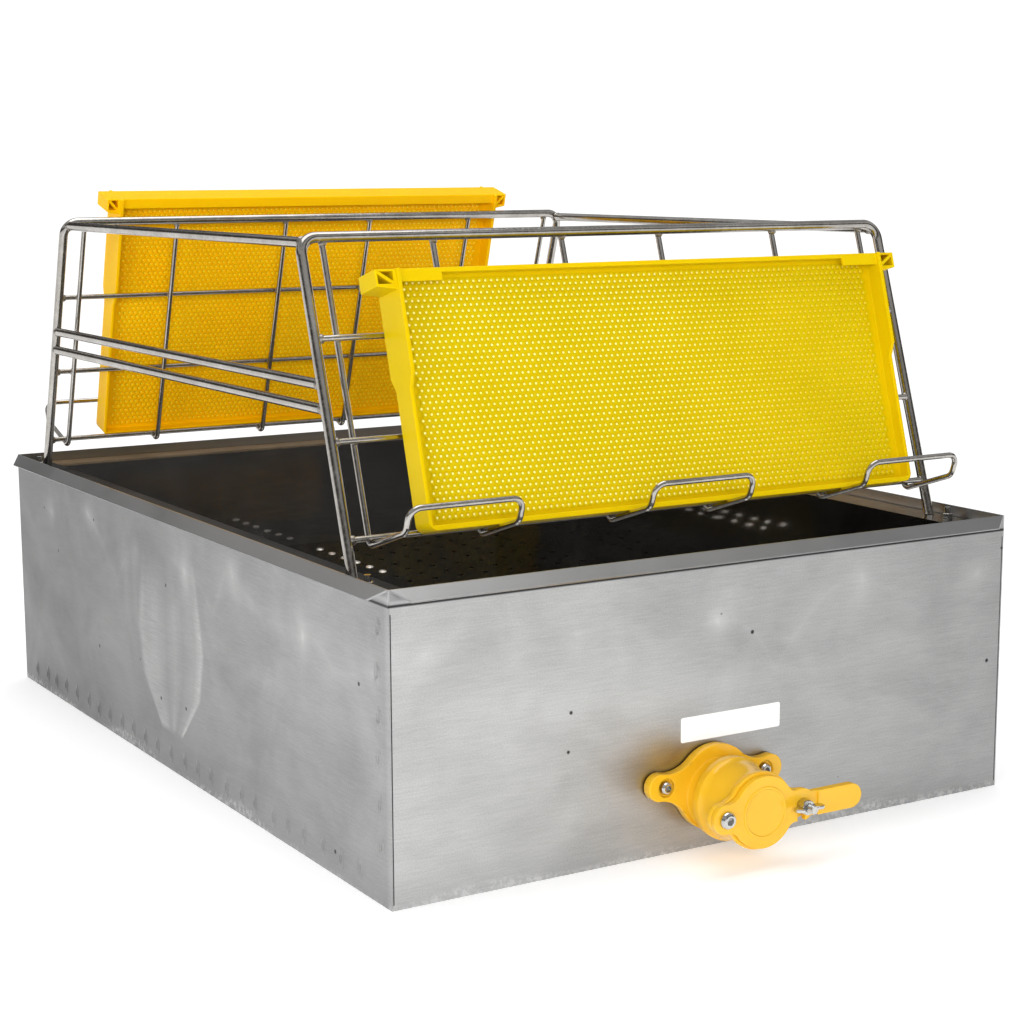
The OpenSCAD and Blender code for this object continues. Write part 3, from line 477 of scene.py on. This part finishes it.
def cells(name, side, face, comb, floor_mat, wall_mat, body):
    """Pressed comb cells on one face of a foundation: a ridge round each cell and a dished floor; the floors
    take the painted highlight material and the ridges the painted shade one.
    """
    base = panel(side, comb["x"], COMB_OFF, COMB_UP)
    out = Vector((0, side * math.cos(COMB_LEAN), math.sin(COMB_LEAN))) * face
    up = Vector((0, -side * math.sin(COMB_LEAN), math.cos(COMB_LEAN)))
    pitch = 5.05
    row = pitch * math.sqrt(3) / 2
    radius = pitch / math.sqrt(3)
    border, ridge, dish = 7.0, 2.1, 1.45
    cols = int((comb["length"] - 2 * border) // pitch) - 1
    rows = int((comb["height"] - 2 * border) // row)
    ring = [(math.cos(math.radians(60 * k + 30)), math.sin(math.radians(60 * k + 30))) for k in range(6)]
    verts, faces, index = [], [], []
    for j in range(rows):
        count = cols + (j + 1) % 2
        for i in range(count):
            c = base + RIGHT * ((i - (count - 1) / 2) * pitch) + up * (border + radius + j * row)
            n = len(verts)
            for share, h in ((1.0, ridge), (0.80, ridge), (0.34, dish)):
                verts += [c + (RIGHT * a + up * b) * radius * share + out * h for a, b in ring]
            verts.append(c + out * (dish - 0.04))
            for k in range(6):
                q = (k + 1) % 6
                made = [(n + a + k, n + a + q, n + a + 6 + q, n + a + 6 + k) for a in (0, 6)]
                made.append((n + 12 + k, n + 12 + q, n + 18))
                faces += made if side * face < 0 else [f[::-1] for f in made]
                index += [1, 1, 0]
    return add_mesh(name, verts, faces, [floor_mat, wall_mat], body, "comb_plastic", index)


for side, comb, floor_mat, wall_mat, body in ((-1, FRONT_COMB, CELL_FLOOR_GLINT, CELL_WALL_SHADE, "front_comb"),
                                              (1, BACK_COMB, BACK_CELL_FLOOR_GLINT, BACK_CELL_WALL_SHADE, "back_comb")):
    for face, word in ((1, "outer"), (-1, "inner")):
        cells("%s_cells_%s" % (body, word), side, face, comb, floor_mat, wall_mat, body)


def lump(at, radii, seed, rings=7, around=10):
    """A rough weld bead."""
    verts = []
    for j in range(rings + 1):
        lat = math.pi * j / rings
        for k in range(around):
            lon = 2 * math.pi * k / around
            d = Vector((math.sin(lat) * math.cos(lon), math.sin(lat) * math.sin(lon), math.cos(lat)))
            swell = 1.0 + 0.28 * noise.noise(d * 1.7 + Vector((seed * 3.1, seed * 1.7, seed)))
            verts.append(at + Vector((d.x * radii[0], d.y * radii[1], d.z * radii[2])) * swell)
    faces = []
    for j in range(rings):
        for k in range(around):
            q = (k + 1) % around
            faces.append((j * around + k, j * around + q, (j + 1) * around + q, (j + 1) * around + k))
    return verts, faces


def weld_beads():
    """Beads where the rack's rods and wires meet."""
    spots = []
    loops = [s * LOOP_PITCH + t * LOOP_HALF for s in (-1, 0, 1) for t in (-1, 1)]
    for side in (-1, 1):
        for up in (LOW_UP, MID_UP, TOP_UP):
            spots += [(panel(side, x, 0.0, up), (3.0, 2.2, 3.0)) for x in loops]
            spots += [(panel(side, s * (POST_X - ROD_R), WIRE_OFF * 0.6, up), (3.2, 3.2, 3.4))
                      for s in (-1, 1)]
        spots += [(panel(side, x, -WIRE_OFF * 0.6, PANEL_L - ROD_R), (3.2, 3.0, 2.6)) for x in loops]
        inward = Vector((0, -side * (ROD_R + 0.6), 0))
        for s in (-1, 1):
            corner = panel(side, s * (POST_X - TIE_IN), 0.0, PANEL_L - TIE_IN)
            spots.append((corner + inward, (4.6, 2.6, 4.6)))
        for up in (LOW_RAIL_UP, HIGH_RAIL_UP):
            spots.append((panel(side, -POST_X, 0.0, up) + inward, (4.5, 2.6, 4.6)))
    return join(lump(at, radii, 0.37 * i) for i, (at, radii) in enumerate(spots))


add_mesh("weld_beads", *weld_beads(), [BEAD], "rack", "rack_rod", smooth=True)


def hole_rims():
    """Collars round the strainer holes in the middle, towards the back, in near-white steel that paints
    glints on them.
    """
    profile = ((-0.1, -0.5), (0.0, 0.45), (0.3, 0.9), (0.9, 0.45), (1.2, 0.01))
    rings = [(HOLE_R + out, up, "round") for out, up in profile]
    first_row = 6
    parts = []
    for i in (-1, 1):
        for j in range(first_row, HOLES_Y // 2):
            at = Vector((i * HOLE_PITCH / 2, (j + 0.5) * HOLE_PITCH, TRAY_TOP_Z))
            v, f = lathe(at, UP, rings, 12)
            parts.append((v, f[:-2]))
    return join(parts)


add_mesh("tray_hole_rims", *hole_rims(), [HOLE_RIM_GLINT], "tray", "tray_sheet", smooth=True)


def weld_marks():
    """Shallow spot-weld marks on the outside of the side walls, along the foot and the front edge."""
    foot_z, front_y = 16.0, -374.0
    places = [(y, foot_z) for y in range(-340, 371, 29)]
    places += [(front_y, z) for z in range(41, 200, 31)]
    profile = ((6.0, 0.0), (4.2, 0.4), (2.8, 0.9), (1.6, 0.3), (0.4, 0.05))
    rings = [(radius, along, "round") for radius, along in profile]
    parts = []
    for s in (-1, 1):
        out = Vector((s, 0, 0))
        for i, (y, z) in enumerate(places):
            shift = noise.noise_vector(Vector((i * 1.3, s * 2.0, 0.5)))
            at = Vector((s * TANK_W / 2, y + 5 * shift.y, z + 3 * shift.z))
            v, f = lathe(at, out, rings, 20)
            v = [Vector((p.x, at.y + (p.y - at.y) * 0.7, at.z + (p.z - at.z) * 1.5)) for p in v]
            parts.append((v, f[:-2] + f[-1:]))
    return join(parts)


add_mesh("weld_marks", *weld_marks(), [SHADED_SIDE_WALL], "tank", "tank_sheet", smooth=True)


def rounded_plate(at, right, up, size, radius, thick, arc=6):
    """A thin plate with round corners, standing off a face."""
    out = right.cross(up)
    w, h = size
    edge = []
    for sx, sy, start in ((1, 1, 0), (-1, 1, 90), (-1, -1, 180), (1, -1, 270)):
        for k in range(arc + 1):
            a = math.radians(start + 90 * k / arc)
            edge.append((sx * (w / 2 - radius) + radius * math.cos(a),
                         sy * (h / 2 - radius) + radius * math.sin(a)))
    n = len(edge)
    verts = [at + right * x + up * y for x, y in edge]
    verts += [at + right * x * (1 - 0.2 / w) + up * y * (1 - 0.2 / h) + out * thick for x, y in edge]
    faces = [(k, (k + 1) % n, n + (k + 1) % n, n + k) for k in range(n)] + [tuple(range(n, 2 * n))]
    return verts, faces


LABEL_AT, LABEL_SIZE = Vector((8.0, -TANK_D / 2, 92.5)), (92.0, 19.0)
label = rounded_plate(LABEL_AT, RIGHT, UP, LABEL_SIZE, 1.6, 0.25)
add_mesh("blank_label", *label, [LABEL], "tank", "tank_sheet")


def corner_seam_shadows():
    """Thin black strips that paint the shadow in the joints where the side walls lap the front and back
    walls.
    """
    edge_in, mid_z, size = 1.5, 106.0, (0.9, 204.0)
    parts = []
    for sy in (-1, 1):
        for sx in (-1, 1):
            at = Vector((sx * (TANK_W / 2 - edge_in), sy * TANK_D / 2, mid_z))
            parts.append(rounded_plate(at, RIGHT * -sy, UP, size, 0.4, 0.12, 2))
    return join(parts)


add_mesh("corner_seam_shadows", *corner_seam_shadows(), [SEAM_SHADOW], "tank", "tank_sheet")

# Gate fasteners
GATE = Vector((GATE_X, -TANK_D / 2, GATE_Z))
EAR_TILT, EAR_REACH, FLANGE_UP, EAR_SEAT = math.radians(8.0), 46.0, 4.0, 6.0
PIVOT_AT, FRONT_Z, HEAD_GAP, THREAD_FROM = 34.0, 66.8, 0.3, 8.6
EAR_AT, EAR_UP = EAR_REACH * math.cos(EAR_TILT), FLANGE_UP + EAR_REACH * math.sin(EAR_TILT)
EAR_FACE = GATE + UP * EAR_UP + GATE_OUT * EAR_SEAT
ears = join(socket_bolt(EAR_FACE + RIGHT * s * EAR_AT, GATE_OUT,
                        shank_r=3.0, shank_from=-13.0, head_r=5.2, head_h=5.0) for s in (-1, 1))
ear_bolts = add_mesh("ear_bolt_set", *ears, [MATS["fastener_steel"]], "tank", "fastener_steel")
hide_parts("ear_bolts")
pivot = socket_bolt(GATE - RIGHT * PIVOT_AT + GATE_OUT * (FRONT_Z + HEAD_GAP), GATE_OUT,
                    shank_r=3.0, shank_from=-16.0, head_r=6.5, head_h=4.0)
pivot_bolt = add_mesh("pivot_bolt_set", *pivot, [MATS["fastener_steel"]], "tank", "fastener_steel")
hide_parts("pivot_bolt")
stud_thread = thread(GATE + RIGHT * PIVOT_AT + GATE_OUT * (FRONT_Z + THREAD_FROM), GATE_OUT,
                     radius=2.95, length=6.0, pitch=1.0, depth=0.3)
add_mesh("stud_thread", *stud_thread, [MATS["fastener_steel"]], "tank", "fastener_steel")


# Stage, light and camera

FLOOR_R, FLOOR_SIDES = 1.25, 96
floor = bpy.data.meshes.new("floor")
turns = [2 * math.pi * k / FLOOR_SIDES for k in range(FLOOR_SIDES)]
floor.from_pydata([(FLOOR_R * math.cos(a), FLOOR_R * math.sin(a), 0) for a in turns], [],
                  [tuple(range(FLOOR_SIDES))])
floor_obj = bpy.data.objects.new("floor", floor)
scene.collection.objects.link(floor_obj)
ground = Nodes("floor_look")
ground.set(Roughness=0.9, Emission_Color=(1.0, 1.0, 1.0, 1.0), Emission_Strength=0.3)
ground.to(ground.ramp(ground.noise(3.0), (0.3, 0.93), (0.7, 0.95)), "Base Color")
floor.materials.append(ground.mat)


def studio(stops):
    """A world whose light depends on height: stops are (sine of the elevation, colour)."""
    world = bpy.data.worlds.new("studio")
    world.use_nodes = True
    t = world.node_tree
    way = t.nodes.new("ShaderNodeTexCoord")
    split = t.nodes.new("ShaderNodeSeparateXYZ")
    ramp = t.nodes.new("ShaderNodeValToRGB")
    el = ramp.color_ramp.elements
    while len(el) < len(stops):
        el.new(0.5)
    for e, (pos, col) in zip(el, stops):
        e.position = pos
        e.color = (*col, 1.0)
    t.links.new(way.outputs["Generated"], split.inputs[0])
    t.links.new(split.outputs[2], ramp.inputs["Fac"])
    t.links.new(ramp.outputs["Color"], t.nodes["Background"].inputs["Color"])
    t.nodes["Background"].inputs["Strength"].default_value = 1.1
    return world


scene.world = studio([(0.085, (1.0, 1.0, 1.0)), (0.13, (0.22, 0.20, 0.175)), (0.18, (0.045, 0.042, 0.039)),
                      (0.36, (0.05, 0.047, 0.044)), (0.46, (0.55, 0.55, 0.55)), (0.6, (0.5, 0.5, 0.5)),
                      (0.8, (0.30, 0.30, 0.30))])


def area(name, loc, target, size, power, glossy=True):
    """A soft rectangular light aimed at a point; glossy lets it show in mirrors."""
    li = bpy.data.lights.new(name, "AREA")
    li.shape = "RECTANGLE"
    li.size, li.size_y = size
    li.energy = power
    o = bpy.data.objects.new(name, li)
    scene.collection.objects.link(o)
    o.location = loc
    o.rotation_euler = (Vector(target) - Vector(loc)).to_track_quat("-Z", "Y").to_euler()
    o.visible_glossy = glossy


area("key", (-1.3, -3.0, 1.0), (0, 0, 0.25), (1.6, 1.0), 50, glossy=False)
area("side", (-2.7, -1.4, 0.7), (0, 0.3, 0.3), (1.2, 0.8), 26, glossy=False)
area("top", (0.0, 0.2, 3.4), (0, 0, 0), (3.0, 3.0), 75)

# The camera that was fitted to the tank's corners in the photo
PHOTO_PX, FOCAL_PX, SENSOR = 1024.0, 2082.0, 36.0
CAMERA_AT = (-0.9128, -1.5996, 0.5062)
cam = bpy.data.cameras.new("camera")
cam.sensor_width = SENSOR
cam.lens = FOCAL_PX / PHOTO_PX * SENSOR
cam.clip_end = 60.0
cam_obj = bpy.data.objects.new("camera", cam)
scene.collection.objects.link(cam_obj)
yaw, pitch, roll = math.radians(31.11), math.radians(9.52), math.radians(-0.21)
look = Vector((math.sin(yaw) * math.cos(pitch), math.cos(yaw) * math.cos(pitch), -math.sin(pitch)))
cam_obj.matrix_world = (Matrix.Translation(CAMERA_AT)
                        @ look.to_track_quat("-Z", "Y").to_matrix().to_4x4()
                        @ Matrix.Rotation(roll, 4, "Z"))
scene.camera = cam_obj
scene.view_settings.view_transform = "Standard"
